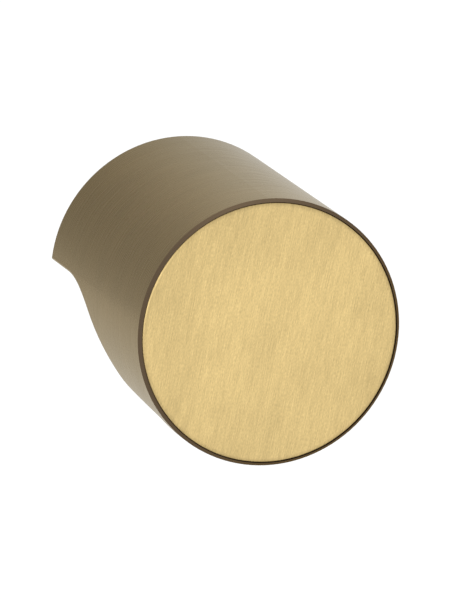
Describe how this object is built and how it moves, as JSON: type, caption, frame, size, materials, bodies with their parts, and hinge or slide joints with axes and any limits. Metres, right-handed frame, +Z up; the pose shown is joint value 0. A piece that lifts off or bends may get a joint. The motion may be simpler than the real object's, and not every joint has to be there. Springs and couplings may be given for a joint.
{
  "type": "cabinet knob",
  "caption": "Round bar knob with a disc face, scooped away below for the fingers to a half-moon neck with one tapped fixing hole.",
  "frame": {"origin": "centre of the mouth of the fixing hole, in the plane of the back land that meets the wood", "axes": "+Y along the fixing hole into the wood, so the knob stands out along -Y; +Z up; +X to the right of a person who faces the door"},
  "size_m": [0.03, 0.035, 0.03],
  "materials": {
    "bronze_body": "dark bronze patina on solid brass, fine circumferential brushing, satin",
    "brass_face": "satin brass, brushed in straight, nearly upright lines"
  },
  "bodies": {
    "root": {"body": "bronze_body", "face_disc": "brass_face"}
  },
  "joints": []
}
